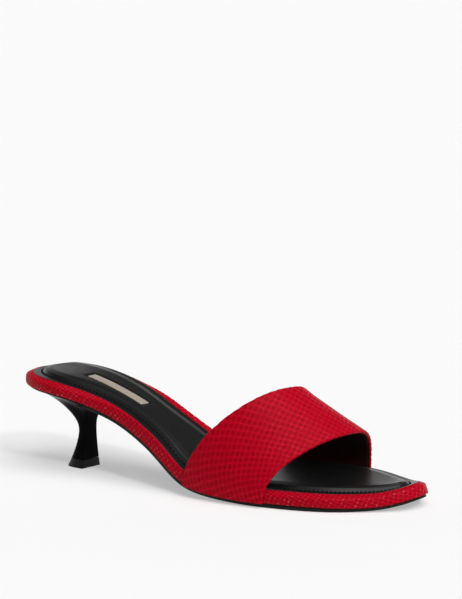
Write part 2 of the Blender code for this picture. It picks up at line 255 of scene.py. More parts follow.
# Lining of the strap
LINING_RECESS = 0.00055
LINING_FROM_EDGE = 0.00015
LINING_UNDER_EDGE = 0.00005
LINING_LIFT = 0.00003

# Softened corners
OUTSOLE_SOFT = 0.0004
HEEL_SOFT = 0.00045
TIP_SOFT = 0.00025
SOFT_ANGLE = math.radians(50)

# Edge of the outsole: inset past its own, share of its thickness, and a further drop
OUTSOLE_EDGE = (
    (0.0006, 0.0, 0.0),
    (0.0001, 0.0, 0.0001),
    (0.0, 0.0, 0.0003),
    (0.0, 1.0, -OUTSOLE_SOFT),
    (0.3 * OUTSOLE_SOFT, 1.0, -0.3 * OUTSOLE_SOFT),
    (OUTSOLE_SOFT, 1.0, 0.0),
    (3 * OUTSOLE_SOFT, 1.0, 0.0),
)

# Fineness of the skins
RAND_STEPS = 760
RAND_ROWS = 40
STRAP_ACROSS = 340
STRAP_ALONG = 96
STRAP_ROLL = 9
STRAP_INNER_ROWS = 16
LINING_ACROSS = 120
LINING_ROWS = 24
SOCK_STEPS = 440
SOCK_INNER_ROWS = 64
PLATE_SIDE_STEPS = 40
OUTSOLE_STEPS = 260
HEEL_STEPS = 96
STEM_ROWS = 26
SWEEP_ROWS = 40
TIP_ROWS = 8
EVEN_SAMPLES = 2000
LAST_TURN = 1.9999

# Colours and gloss
RED_SCALE_DARK = (0.37, 0.0002, 0.010)
RED_SCALE_LIGHT = (0.45, 0.0004, 0.014)
RED_PATCH = (0.40, 0.0003, 0.018)
# Painted shade: darker red that the hollows of the scales are coloured with
RED_HOLLOW_SHADE = (0.25, 0.0002, 0.004)
RED_GLOSS = 0.05
STRAP_GLINT = 0.35
RAND_GLINT = 2.0
GLINT_START = 0.52
GLINT_EASE = 0.14
FOIL_DARK = (0.42, 0.36, 0.29)
FOIL_LIGHT = (0.74, 0.65, 0.53)
SOCK_BLACK = (0.002, 0.002, 0.002)
LINING_BLACK = (0.0015, 0.0015, 0.0015)
BLACK_GLOSS = 0.5
HEEL_DARK = (0.0025, 0.0025, 0.0028)
HEEL_LIGHT = (0.005, 0.005, 0.0055)
HEEL_GLOSS = 0.02
HEEL_IOR = 1.25
SOLE_BLACK = (0.008, 0.008, 0.008)
TIP_BLACK = (0.003, 0.003, 0.003)
DULL_GLOSS = 0.2
FLOOR_WHITE = 0.60
FLOOR_GLOW = 0.25

# Room: levels, and the directions between which the backdrop and the ceiling fade in and out
ROOM_LEVEL = 0.04
BACKDROP_LEVEL = 2.1
BACKDROP_SIDES = (-0.3, 0.9)
BACKDROP_TOP = (0.05, 0.42)
CEILING_LEVEL = 0.3
CEILING_EDGE = (0.60, 0.95)

# Suns: azimuth from the front of the outer side, elevation, strength, spread, and whether they
# cast shadows and show in reflections
SUNS = (
    ("toe_key", 78.0, 58.0, 1.33, 58.0, True),
    ("toe_core", 60.0, 36.0, 0.85, 7.0, True),
    ("overhead_fill", 90.0, 74.0, 1.25, 60.0, False),
    ("toe_fill", 88.0, 16.0, 0.40, 30.0, False),
    ("glint_lamp", 32.0, 36.0, 0.16, 3.0, True),
)

# Camera, solved from the sole's outline in the photograph
CAMERA_AZIMUTH = math.radians(33.02)
CAMERA_ELEVATION = math.radians(8.56)
CAMERA_ROLL = math.radians(-0.15)
CAMERA_PLACE = (0.8930, -1.2277, 0.3196)
CAMERA_LENS = 169.5


def smooth_step(value):
    """Smooth rise from 0 to 1 as the value does."""
    value = np.clip(value, 0, 1)
    return value * value * (3 - 2 * value)


def running_length(line):
    """Length along a line of points, from its first one."""
    return np.concatenate([[0], np.cumsum(np.linalg.norm(np.diff(line, axis=0), axis=1))])


def table_curve(rows, column):
    """Monotone cubic through one column of a table, as a function of its first column."""
    x = np.array([row[0] for row in rows])
    y = np.array([row[column] for row in rows])
    step = np.diff(x)
    slope = np.diff(y) / step
    tangent = np.zeros(len(x))
    for i in range(1, len(x) - 1):
        if slope[i - 1] * slope[i] > 0:
            before = 2 * step[i] + step[i - 1]
            after = step[i] + 2 * step[i - 1]
            tangent[i] = (before + after) / (before / slope[i - 1] + after / slope[i])
    tangent[0], tangent[-1] = slope[0], slope[-1]

    def value(at):
        at = np.clip(at, x[0], x[-1])
        i = np.clip(np.searchsorted(x, at, side="right") - 1, 0, len(x) - 2)
        t = (at - x[i]) / step[i]
        return (
            y[i] * (1 + 2 * t) * (1 - t) ** 2
            + tangent[i] * step[i] * t * (1 - t) ** 2
            + y[i + 1] * t * t * (3 - 2 * t)
            + tangent[i + 1] * step[i] * t * t * (t - 1)
        )

    return value


def round_curve(rows, column):
    """Smooth spline through one column, in the angle that rounds the outline's two ends."""
    angle = np.arccos(1 - 2 * np.array([row[0] for row in rows]))
    y = np.array([row[column] for row in rows])
    n = len(angle)
    step = np.diff(angle)
    system = np.zeros((n, n))
    right_side = np.zeros(n)
    system[0, :3] = step[1], -step[0] - step[1], step[0]
    system[-1, -3:] = step[-1], -step[-2] - step[-1], step[-2]
    for i in range(1, n - 1):
        system[i, i - 1 : i + 2] = step[i - 1], 2 * (step[i - 1] + step[i]), step[i]
        right_side[i] = 6 * ((y[i + 1] - y[i]) / step[i] - (y[i] - y[i - 1]) / step[i - 1])
    bend = np.linalg.solve(system, right_side)

    def value(at):
        i = np.clip(np.searchsorted(angle, at, side="right") - 1, 0, n - 2)
        a = (angle[i + 1] - at) / step[i]
        b = (at - angle[i]) / step[i]
        curve = ((a**3 - a) * bend[i] + (b**3 - b) * bend[i + 1]) * step[i] ** 2 / 6
        return a * y[i] + b * y[i + 1] + curve

    return value


SEAT_RISE_AT = table_curve(PROFILE, 1)
TOE_SPRING_AT = table_curve(PROFILE, 2)
OUTER_DEPTH_AT = table_curve(FOOTBED_DEPTH, 1)
INNER_DEPTH_AT = table_curve(FOOTBED_DEPTH, 2)
RAND_OUTER_AT = table_curve(RAND_SPAN, 1)
RAND_INNER_AT = table_curve(RAND_SPAN, 2)
OUTSOLE_AT = table_curve(OUTSOLE_DEPTH, 1)
OUTER_AT = round_curve(OUTLINE, 1)
INNER_AT = round_curve(OUTLINE, 2)


def width_at(share):
    """Local width that the outline's shares are taken of, from the seat to the ball."""
    t = np.clip((share - WAIST_START) / (WAIST_END - WAIST_START), 0, 1)
    return SEAT_WIDTH + (BALL_WIDTH - SEAT_WIDTH) * t * t * (3 - 2 * t)


def eased(curve, share):
    """Curve averaged over a short stretch that closes up at both ends of the shoe."""
    share = np.clip(share, 0, 1)
    reach = np.minimum(PROFILE_EASE, np.minimum(share, 1 - share))
    total = 0
    for offset in np.linspace(-1, 1, EASE_SAMPLES):
        total = total + curve(share + offset * reach)
    return total / EASE_SAMPLES


def outsole_depth(share):
    """Thickness of the outsole."""
    return eased(OUTSOLE_AT, share) * OUTSOLE_THICKNESS


def underside_at(share):
    """Height of the footbed's underside over the floor."""
    rest = OUTSOLE_THICKNESS + FIT_GAP
    rise = eased(SEAT_RISE_AT, share) * (SEAT_HEIGHT - rest)
    thinned = OUTSOLE_THICKNESS - outsole_depth(share)
    return rest + rise + eased(TOE_SPRING_AT, share) * TOE_SPRING - thinned


def sole_place(along, across, height):
    """Point at a distance from the heel's back, across the shoe and up from the underside."""
    share = along / SHOE_LENGTH
    small = 0.002
    slope = (underside_at(share + small) - underside_at(share - small)) / (2 * small * SHOE_LENGTH)
    lean = np.arctan(slope)
    x = along - HEEL_FROM_BACK - height * np.sin(lean)
    z = underside_at(share) + height * np.cos(lean)
    return np.stack([x, across + 0 * along, z], axis=-1)


def half_outline(side, angle):
    """Plan points of one side of the footbed, +1 for the inner side and -1 for the outer."""
    share = (1 - np.cos(angle)) / 2
    half = INNER_AT(angle) if side > 0 else OUTER_AT(angle)
    return np.stack([share * SHOE_LENGTH, side * half * width_at(share)], axis=-1)


def footbed_depth(share, across):
    """Thickness of the footbed, which is built up towards the inner side of the foot."""
    outer, inner = eased(OUTER_DEPTH_AT, share), eased(INNER_DEPTH_AT, share)
    towards_inner = 0.5 + across / width_at(share)
    return (outer + (inner - outer) * towards_inner) * FOOTBED_THICKNESS


def insole_floor(share, across):
    """Height of the insole's underside over the footbed's."""
    return footbed_depth(share, across) - RAND_ROLL - INSOLE_THICKNESS


def flatness(share):
    """1 where the sole lies flat at the heel and under the toes, 0 on its slope."""
    slope_start = smooth_step((share - SLOPE_START) / SLOPE_START_EASE)
    return 1 - slope_start * smooth_step((SLOPE_END - share) / SLOPE_END_EASE)


def margin_height(share, across):
    """Height over the footbed's underside of the insole's top at its edge.

    Where the sole lies flat it is level with the rand's top on the outer side and proud of it on the inner.
    """
    flat = flatness(share)
    proud = smooth_step(across / width_at(share) * PROUD_EASE)
    return footbed_depth(share, across) - (1 - flat) * RAND_ROLL + flat * proud * SOCK_EDGE


def rim_place(turn, inset, snug=False):
    """Plan points of the outline moved inwards: turn 0 is the heel's back, 1 the tip of the toe, 2 the back.

    Where it is snug, it is moved less, by what the rand's top is narrower there.
    """
    outer = turn < 1
    angle = math.pi * np.where(outer, turn, 2 - turn)
    small = 0.001
    inset = np.asarray(inset)
    if snug:
        share = (1 - np.cos(angle)) / 2
        span = np.where(outer, RAND_OUTER_AT(share), RAND_INNER_AT(share))
        inset = inset - np.minimum(inset, RAND_TOP) * (1 - span)
    places = []
    for side in (-1, 1):
        ahead = half_outline(side, np.clip(angle + small, 0, math.pi))
        behind = half_outline(side, np.clip(angle - small, 0, math.pi))
        tangent = ahead - behind
        normal = side * np.stack([-tangent[..., 1], tangent[..., 0]], axis=-1)
        normal /= np.linalg.norm(normal, axis=-1)[..., None]
        places.append(half_outline(side, angle) - normal * inset[..., None])
    return np.where(outer[..., None], places[0], places[1])


def even_turns(steps, start=0.0):
    """Turns evenly spaced along each side, with the start's two ends or the heel's back, and the tip."""
    first = math.acos(1 - 2 * start) / math.pi
    sides = []
    for low, high in ((first, 1.0), (1.0, 2.0 - first)):
        fine = np.linspace(low, high, EVEN_SAMPLES + 1)
        plan = rim_place(np.clip(fine, 0, LAST_TURN), np.zeros(len(fine)))
        length = running_length(plan)
        sides.append(np.interp(np.linspace(0, length[-1], steps + 1), length, fine))
    outer, inner = sides
    turns = np.concatenate([outer, inner[1:]])
    return turns[:-1] if start == 0 else turns


def rim_ring(turns, inset, height, snug=False):
    """Ring around the sole at an inset and at a height over the footbed's underside."""
    plan = rim_place(turns, inset + 0 * turns, snug)
    along, across = plan[:, 0], plan[:, 1]
    return sole_place(along, across, height(along / SHOE_LENGTH, across))


def add_mesh(name, points, faces, look):
    """Smooth mesh object with its faces turned outwards."""
    mesh = bpy.data.meshes.new(name)
    mesh.from_pydata(np.asarray(points, dtype=float).reshape(-1, 3).tolist(), [], faces)
    shape = bmesh.new()
    shape.from_mesh(mesh)
    bmesh.ops.recalc_face_normals(shape, faces=shape.faces)
    shape.to_mesh(mesh)
    shape.free()
    mesh.shade_smooth()
    mesh.materials.append(look)
    made = bpy.data.objects.new(name, mesh)
    bpy.context.scene.collection.objects.link(made)
    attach(made, "root")
    return made


def store(made, name, values):
    """Value for each point of a piece, which its material reads."""
    layer = made.data.attributes.new(name, "FLOAT", "POINT")
    layer.data.foreach_set("value", np.asarray(values, dtype=np.float32).ravel())


def ladder(left, right):
    """Faces between two rows of points, whose shared ends give triangles."""
    faces = []
    for i in range(len(left) - 1):
        face = (left[i], left[i + 1], right[i + 1], right[i])
        faces.append(tuple(dict.fromkeys(face)))
    return [face for face in faces if len(face) > 2]


def ring_faces(rows, count):
    """Faces between consecutive rings of equal count."""
    faces = []
    for row in range(rows - 1):
        low, high = row * count, (row + 1) * count
        for i in range(count):
            j = (i + 1) % count
            faces.append((low + i, low + j, high + j, high + i))
    return faces


def sole_pairs(steps, count):
    """Pairs of points that face each other across the sole."""
    return [(k, (2 * steps - k) % count) for k in range(steps + 1)]


def capped(rings, pairs):
    """Points and faces of a loft closed at both ends by ladders of point pairs."""
    count = len(rings[0])
    faces = ring_faces(len(rings), count)
    for first in (0, (len(rings) - 1) * count):
        faces += ladder([first + pair[0] for pair in pairs], [first + pair[1] for pair in pairs])
    return np.concatenate(rings), faces


def scales(u, v, wide, tall, rise, skew, period=None):
    """Relief of the embossed scales, lowest in their hollows and 1 on the net, and a tint for each scale.

    Slow waves bend the rows a little. A period makes whole numbers of rows fit round a closed length.
    """
    u = u + SCALE_WANDER * (np.sin(v * 310 + 0.7) + np.sin(v * 770 + u * 90 + 2.1))
    v = v + SCALE_WANDER * (np.sin(u * 260 + 1.9) + np.sin(u * 640 + v * 120 + 0.3))
    along, down = (math.cos(rise) - skew * math.sin(rise)) / wide, -math.sin(rise) / tall
    if period:
        along, down = round(along * period) / period, round(down * period) / period
    p = u * along + v * (math.sin(rise) + skew * math.cos(rise)) / wide
    q = u * down + v * math.cos(rise) / tall
    cell_p, cell_q = np.floor(p).astype(int), np.floor(q).astype(int)
    tint = TINTS[cell_p % TINT_CELLS, cell_q % TINT_CELLS]
    size = HOLLOW_REACH * (HOLLOW_LEAST + HOLLOW_SPREAD * TINTS[cell_q % TINT_CELLS, cell_p % TINT_CELLS])
    s, t = 2 * (p - cell_p) - 1, 2 * (q - cell_q) - 1
    reach = (np.abs(s) ** HOLLOW_POWER + np.abs(t) ** HOLLOW_POWER) ** (1 / HOLLOW_POWER)
    hollow = smooth_step((HOLLOW_OUTER - reach / size) / HOLLOW_EASE)
    ridge = smooth_step((np.maximum(np.abs(s), np.abs(t)) - NET_LEVEL) / (1 - NET_LEVEL))
    return NET_LEVEL + (1 - NET_LEVEL) * ridge - hollow * (HOLLOW_SHALLOW + HOLLOW_DEEPER * tint), tint


# Materials

def new_material(name):
    """New material, its nodes, its links and its shader."""
    made = bpy.data.materials.new(name)
    made.use_nodes = True
    nodes = made.node_tree.nodes
    return made, nodes, made.node_tree.links, nodes["Principled BSDF"]


def noise(nodes, links, scale, detail=3.0, roughness=0.5):
    """Noise in the object's own coordinates."""
    place = nodes.new("ShaderNodeTexCoord")
    made = nodes.new("ShaderNodeTexNoise")
    made.inputs["Scale"].default_value = scale
    made.inputs["Detail"].default_value = detail
    made.inputs["Roughness"].default_value = roughness
    links.new(place.outputs["Object"], made.inputs["Vector"])
    return made.outputs["Fac"]


def span(nodes, links, value, low, high, from_low=0.0, from_high=1.0, kind="LINEAR"):
    """Value mapped from one range to another, evenly or with a smooth step."""
    made = nodes.new("ShaderNodeMapRange")
    made.interpolation_type = kind
    made.inputs["From Min"].default_value = from_low
    made.inputs["From Max"].default_value = from_high
    made.inputs["To Min"].default_value = low
    made.inputs["To Max"].default_value = high
    links.new(value, made.inputs["Value"])
    return made.outputs["Result"]


def mixed(nodes, links, factor, low, high):
    """Colour mixed between two colours or sockets by a factor."""
    made = nodes.new("ShaderNodeMix")
    made.data_type = "RGBA"
    links.new(factor, made.inputs["Factor"])
    for socket, colour in ((made.inputs["A"], low), (made.inputs["B"], high)):
        if isinstance(colour, tuple):
            socket.default_value = (*colour, 1.0)
        else:
            links.new(colour, socket)
    return made.outputs["Result"]


def bump(nodes, links, height, strength, distance):
    """Normal that follows a height."""
    made = nodes.new("ShaderNodeBump")
    made.inputs["Strength"].default_value = strength
    made.inputs["Distance"].default_value = distance
    links.new(height, made.inputs["Height"])
    return made.outputs["Normal"]


def attribute(nodes, name):
    """Value that store has put on a piece's points."""
    made = nodes.new("ShaderNodeAttribute")
    made.attribute_name = name
    return made.outputs["Fac"]


def red_leather(name, brightest):
    """Snake-embossed leather: matt, with painted shade darkening the hollows of its scales, and glints on
    their ridges.
    """
    made, nodes, links, shader = new_material(name)
    relief = attribute(nodes, "relief")
    tint = attribute(nodes, "tint")
    wide = noise(nodes, links, 60.0, 2.0)
    scale_colour = mixed(nodes, links, tint, RED_SCALE_DARK, RED_SCALE_LIGHT)
    patchy = mixed(nodes, links, span(nodes, links, wide, 0.0, 0.45), scale_colour, RED_PATCH)
    # Painted shade: the colour darkens into the hollows of the scales, following their relief
    painted_hollow_shade = mixed(nodes, links, span(nodes, links, relief, 0.0, 1.0, 0.1, 0.85), RED_HOLLOW_SHADE, patchy)
    links.new(painted_hollow_shade, shader.inputs["Base Color"])
    flecks = noise(nodes, links, 900.0, 2.0)
    speck = span(nodes, links, flecks, 0.0, 1.0, GLINT_START, GLINT_START + GLINT_EASE)
    ridge = span(nodes, links, relief, 0.0, 1.0, 0.84, 0.97)
    glint = nodes.new("ShaderNodeMath")
    glint.operation = "MULTIPLY"
    links.new(speck, glint.inputs[0])
    links.new(ridge, glint.inputs[1])
    shine = glint.outputs["Value"]
    links.new(span(nodes, links, shine, 0.5, 0.2), shader.inputs["Roughness"])
    links.new(span(nodes, links, shine, RED_GLOSS, brightest), shader.inputs["Specular IOR Level"])
    grain = noise(nodes, links, 3200.0, 4.0, 0.6)
    links.new(bump(nodes, links, grain, 0.35, 0.00008), shader.inputs["Normal"])
    return made


def black_leather(name, colour, roughness, grain_size):
    """Smooth sock or lining leather with a fine grain and faint unevenness."""
    made, nodes, links, shader = new_material(name)
    wide = noise(nodes, links, 45.0, 3.0)
    darker = tuple(0.6 * part for part in colour)
    links.new(mixed(nodes, links, wide, darker, colour), shader.inputs["Base Color"])
    uneven = noise(nodes, links, 120.0, 3.0)
    links.new(span(nodes, links, uneven, roughness - 0.06, roughness + 0.08), shader.inputs["Roughness"])
    shader.inputs["Specular IOR Level"].default_value = BLACK_GLOSS
    grain = noise(nodes, links, 1.0 / grain_size, 5.0, 0.65)
    links.new(bump(nodes, links, grain, 0.25, 0.0001), shader.inputs["Normal"])
    return made


def pale_foil():
    """Champagne foil with a faint cloudy grain."""
    made, nodes, links, shader = new_material("pale gold foil")
    cloudy = noise(nodes, links, 700.0, 4.0, 0.7)
    links.new(mixed(nodes, links, cloudy, FOIL_DARK, FOIL_LIGHT), shader.inputs["Base Color"])
    shader.inputs["Metallic"].default_value = 0.55
    links.new(span(nodes, links, cloudy, 0.32, 0.5), shader.inputs["Roughness"])
    links.new(bump(nodes, links, noise(nodes, links, 4000.0, 3.0), 0.2, 0.00005), shader.inputs["Normal"])
    return made


def gloss_black():
    """Lacquered heel: deep black with a weak, sharp gloss."""
    made, nodes, links, shader = new_material("gloss black lacquer")
    haze = noise(nodes, links, 300.0, 3.0)
    links.new(mixed(nodes, links, haze, HEEL_DARK, HEEL_LIGHT), shader.inputs["Base Color"])
    links.new(span(nodes, links, haze, 0.14, 0.22), shader.inputs["Roughness"])
    shader.inputs["Specular IOR Level"].default_value = HEEL_GLOSS
    shader.inputs["IOR"].default_value = HEEL_IOR
    links.new(bump(nodes, links, noise(nodes, links, 120.0, 2.0), 0.05, 0.0003), shader.inputs["Normal"])
    return made


def dull_black(name, colour, roughness, grain_scale):
    """Rubber, thread or pressed leather: dull black with a coarse grain."""
    made, nodes, links, shader = new_material(name)
    speck = noise(nodes, links, grain_scale, 5.0, 0.7)
    darker = tuple(0.5 * part for part in colour)
    links.new(mixed(nodes, links, speck, darker, colour), shader.inputs["Base Color"])
    links.new(span(nodes, links, speck, roughness - 0.08, roughness + 0.1), shader.inputs["Roughness"])
    shader.inputs["Specular IOR Level"].default_value = DULL_GLOSS
    links.new(bump(nodes, links, speck, 0.4, 0.00015), shader.inputs["Normal"])
    return made


# Wrapped footbed

def rounded_rows(rows, count):
    """Evenly spaced points on a smooth line through the rows of a section."""
    points = np.array(rows, dtype=float)
    chord = running_length(points)
    chord /= chord[-1]
    table = [(at, *point) for at, point in zip(chord, points)]
    at = np.linspace(0, 1, count)
    return np.stack([table_curve(table, 1)(at), table_curve(table, 2)(at)], axis=-1)


def surface_normals(grid):
    """Normals of a grid of points whose second direction is closed."""
    along = np.roll(grid, -1, axis=1) - np.roll(grid, 1, axis=1)
    normal = np.cross(along, np.gradient(grid, axis=0))
    return normal / np.linalg.norm(normal, axis=-1)[..., None]


def grid_length(grid, axis):
    """Mean running length of a grid along one axis."""
    step = np.linalg.norm(np.diff(grid, axis=axis), axis=-1)
    return np.concatenate([[0], np.cumsum(step.mean(axis=1 - axis))])


def make_footbed(look):
    """Footbed skin with scales pressed round its side, and a plain top and underside."""
    turns = even_turns(RAND_STEPS)
    side = [(inset * RAND_TOP / FOOTBED_THICKNESS, level) for inset, level in (*FOOTBED_SIDE, (1.0, 1.0))]
    crest = FOOTBED_SIDE[-1][0]
    rings = []
    for share_inset, level in rounded_rows(side, RAND_ROWS):
        inset = share_inset * FOOTBED_THICKNESS
        inner = max((inset / RAND_TOP - crest) / (1 - crest), 0) ** RAND_ROLL_POWER
        outer = level**RAND_FALL_POWER * (1 - inset / RAND_TOP)

        def height(share, across):
            flat = flatness(share)
            roll = (1 - flat) * RAND_ROLL * inner
            fall = flat * RAND_FALL * outer
            return level * footbed_depth(share, across) - roll - fall

        rings.append(rim_ring(turns, inset, height, True))
    grid = np.array(rings)
    normal = surface_normals(grid)
    middle = grid.mean(axis=(0, 1))
    if ((grid - middle) * normal).sum(axis=-1).mean() < 0:
        normal = -normal
    closed = np.concatenate([grid, grid[:, :1]], axis=1)
    around = grid_length(closed, 1)
    across = grid_length(grid, 0)
    v, u = np.meshgrid(across - across[-1] / 2, around[:-1], indexing="ij")
    relief, tint = scales(u, v, *RAND_SCALE, around[-1])
    rows_from_end = np.minimum(np.arange(RAND_ROWS), np.arange(RAND_ROWS)[::-1])
    fade = smooth_step(rows_from_end / RELIEF_FADE_ROWS)[:, None]
    grid = grid + normal * ((relief - 1.0) * RAND_RELIEF * fade)[..., None]
    last = rim_ring(turns, RAND_TOP, lambda *at: insole_floor(*at) - FIT_GAP, True)
    made = add_mesh("footbed_wrap", *capped([*grid, last], sole_pairs(RAND_STEPS, len(turns))), look)
    store(made, "relief", np.concatenate([relief.ravel(), np.full(len(turns), HIDDEN_RELIEF)]))
    store(made, "tint", np.concatenate([tint.ravel(), np.full(len(turns), HIDDEN_TINT)]))
    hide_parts("footbed")


# Strap and its lining

def strap_place(across, along):
    """Inner face of the strap, from outer base to inner base and from rear to front edge."""

    def between(rear, front):
        return rear + (front - rear) * along

    angle = math.pi * across
    ahead = np.sin(angle).clip(0)
    round_across = between(*STRAP_SHOULDER)
    reach = -np.sign(np.cos(angle)) * np.abs(np.cos(angle)) ** (2 / round_across)
    outer_end = between(STRAP_REAR_PLACE, STRAP_FRONT_PLACE)
    slant = between(STRAP_REAR_SLANT, STRAP_FRONT_SLANT)
    bow = between(STRAP_REAR_BOW, STRAP_FRONT_BOW)
    place = outer_end + slant * (1 + reach) / 2 + bow * ahead**2
    sole_angle = np.arccos(1 - 2 * place / SHOE_LENGTH)
    inner = half_outline(1, sole_angle)[..., 1] + STRAP_CLEARANCE
    outer = half_outline(-1, sole_angle)[..., 1] - STRAP_CLEARANCE
    y = (inner + outer) / 2 + (inner - outer) / 2 * reach
    bulge = STRAP_BULGE * 4 * along * (1 - along)
    height = between(STRAP_REAR_HEIGHT, STRAP_FRONT_HEIGHT) + bulge
    lean = between(*STRAP_LEAN)
    rise = height * ahead ** (2 / between(*STRAP_CROWN)) * (1 + lean * np.cos(angle))
    base = underside_at((outer_end + slant * (1 + reach) / 2) / SHOE_LENGTH)
    return np.stack([place - HEEL_FROM_BACK, y, base + rise], axis=-1)


def strap_normal(across, along):
    """Outward normal of the strap's inner face."""
    small = 0.0015
    ends = np.clip(across - small, 0, 1), np.clip(across + small, 0, 1)
    sides = np.clip(along - small, 0, 1), np.clip(along + small, 0, 1)
    over = strap_place(ends[1], along) - strap_place(ends[0], along)
    forward = strap_place(across, sides[1]) - strap_place(across, sides[0])
    normal = np.cross(forward, over)
    return normal / np.linalg.norm(normal, axis=-1)[..., None]


def even_across(count):
    """Shares across the strap that lie evenly on its middle line, and that line's length."""
    fine = np.linspace(0, 1, 2 * EVEN_SAMPLES + 1)
    line = strap_place(fine, np.full(len(fine), 0.5))
    length = running_length(line)
    return np.interp(np.linspace(0, length[-1], count + 1), length, fine), length[-1]


def strap_widths(across):
    """Widths of the strap from its rear to its front edge."""
    rear = strap_place(across, np.zeros(len(across)))
    front = strap_place(across, np.ones(len(across)))
    return np.linalg.norm(front - rear, axis=1)


def strap_rows(width, wall):
    """Distances from the rear edge and offsets of the strap's section: outer face, rolls and inner face."""
    roll = wall / 2
    turn = np.linspace(0, math.pi, STRAP_ROLL + 2)[1:-1]
    outer = roll + np.linspace(0, 1, STRAP_ALONG + 1) * (width - 2 * roll)
    inner = width - roll - np.linspace(0, 1, STRAP_INNER_ROWS + 1) * (width - 2 * roll)
    distance = np.concatenate([
        outer,
        width - roll + roll * np.sin(turn),
        [width - roll],
        inner,
        [roll],
        roll - roll * np.sin(turn),
    ])
    offset = np.concatenate([
        np.full(len(outer), wall),
        roll + roll * np.cos(turn),
        [0.0],
        np.full(len(inner), LINING_RECESS),
        [0.0],
        roll - roll * np.cos(turn),
    ])
    return distance, offset


def wall_at(across):
    """Wall of the strap, skived towards both of its ends."""
    full = np.minimum(np.sin(math.pi * across) / SKIVE_REACH, 1)
    return STRAP_WALL * (STRAP_SKIVE + (1 - STRAP_SKIVE) * full)


def strap_end(first, count):
    """Faces that close one end of the strap, whose section starts at the first point."""
    faces = []
    ratio = STRAP_ALONG // STRAP_INNER_ROWS
    inner = first + STRAP_ALONG + 1 + STRAP_ROLL + 1
    for k in range(STRAP_INNER_ROWS):
        low = inner + STRAP_INNER_ROWS - k
        outer_part = [first + k * ratio + i for i in range(ratio + 1)]
        faces.append((*outer_part, low - 1, low))
    last = first + count - 1
    rear_roll = [last - i for i in range(STRAP_ROLL + 1)]
    faces.append((first, *rear_roll, inner + STRAP_INNER_ROWS))
    front_roll = [first + STRAP_ALONG + i for i in range(STRAP_ROLL + 1)]
    faces.append((*front_roll, inner - 1, inner))
    return faces


def make_strap(look):
    """Strap skin with scales over its face and round its two folded edges."""
    across, length = even_across(STRAP_ACROSS)
    widths = strap_widths(across)
    sections = [strap_rows(width, wall_at(at)) for at, width in zip(across, widths)]
    distance, offset = np.array(sections).swapaxes(0, 1)
    count = distance.shape[1]
    across_grid = np.repeat(across[:, None], count, axis=1)
    along = np.clip(distance / widths[:, None], 0, 1)
    base = strap_place(across_grid, along)
    normal = strap_normal(across_grid, along)
    grid = base + normal * offset[..., None]
    steps = np.linalg.norm(np.diff(grid, axis=1), axis=-1)
    u = np.pad(np.cumsum(steps, axis=1), ((0, 0), (1, 0))) - widths[:, None] / 2
    v = np.repeat(np.linspace(-length / 2, length / 2, len(across))[:, None], count, axis=1)
    relief, tint = scales(u, v, *STRAP_SCALE)
    shown = np.zeros(count)
    shown[: STRAP_ALONG + 1 + STRAP_ROLL] = 1
    shown[-STRAP_ROLL:] = 1
    out = surface_normals(grid)
    if (out * normal)[:, :STRAP_ALONG].sum() < 0:
        out = -out
    grid = grid + out * ((relief - 1.0) * STRAP_RELIEF * shown)[..., None]
    faces = ring_faces(len(across), count)
    for first in (0, (len(across) - 1) * count):
        faces += strap_end(first, count)
    made = add_mesh("strap_skin", grid, faces, look)
    store(made, "relief", relief * shown + LINED_RELIEF * (1 - shown))
    store(made, "tint", tint)
    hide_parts("strap")


def make_lining(look):
    """Thin black lining inside the strap, between its folded edges."""
    across, _ = even_across(LINING_ACROSS)
    edge = STRAP_WALL / 2 + LINING_FROM_EDGE
    widths = strap_widths(across)
    shares = np.linspace(0, 1, LINING_ROWS + 1)
    distance = edge + shares * (widths[:, None] - 2 * edge)
    along = distance / widths[:, None]
    across_grid = np.repeat(across[:, None], LINING_ROWS + 1, axis=1)
    base = strap_place(across_grid, along)
    normal = strap_normal(across_grid, along)
    outside = base + normal * (LINING_RECESS - LINING_UNDER_EDGE)
    inside = base + normal * LINING_LIFT
    loop = np.concatenate([outside, inside[:, ::-1]], axis=1)
    count = loop.shape[1]
    faces = ring_faces(len(across), count)
    for first in (0, (len(across) - 1) * count):
        last = first + count - 1
        faces += ladder(range(first, first + LINING_ROWS + 1), range(last, last - LINING_ROWS - 1, -1))
    made = add_mesh("strap_lining", loop, faces, look)


# Insole, its stitches and its plate

def sock_height(inset):
    """Height of the insole's top over its edge, by distance from the outline."""
    groove = GROOVE_DEPTH * np.exp(-((inset - GROOVE_INSET) / GROOVE_HALF_WIDTH) ** 2)
    roll = smooth_step((inset - GROOVE_INSET - PAD_ROLL_START) / PAD_ROLL_WIDTH)
    crown = smooth_step((inset - GROOVE_INSET - PAD_CROWN_START) / PAD_CROWN_WIDTH)
    return PAD_RISE * (PAD_ROLL_SHARE * roll + (1 - PAD_ROLL_SHARE) * crown) - groove


def plate_axes(along, across):
    """Place along and across the plate of points on the sole."""
    x, y = along - PLATE_FROM_HEEL_BACK, across - PLATE_OFFSET
    return x * HEEL_COS + y * HEEL_SIN, -x * HEEL_SIN + y * HEEL_COS


def window_depth(along, across):
    """Shallow window pressed into the padded insole for the plate, with a sharper crease round its edge."""
    a, b = plate_axes(along, across)
    out_a = np.abs(a) - (PLATE_LENGTH / 2 + WINDOW_END_GAP)
    out_b = np.abs(b) - (PLATE_WIDTH / 2 + WINDOW_SIDE_GAP)
    past = np.maximum(out_a, out_b)
    window = smooth_step(0.5 - past / WINDOW_EASE)
    return WINDOW_DEPTH * window + WINDOW_CREASE * np.exp(-(past / WINDOW_CREASE_WIDTH) ** 2)


def sock_ring(plan, rise):
    """Points of the insole's top over plan points, at a rise over its edge and with the window pressed in."""
    along, across = plan[:, 0], plan[:, 1]
    top = margin_height(along / SHOE_LENGTH, across) + rise - window_depth(along, across)
    return sole_place(along, across, top)


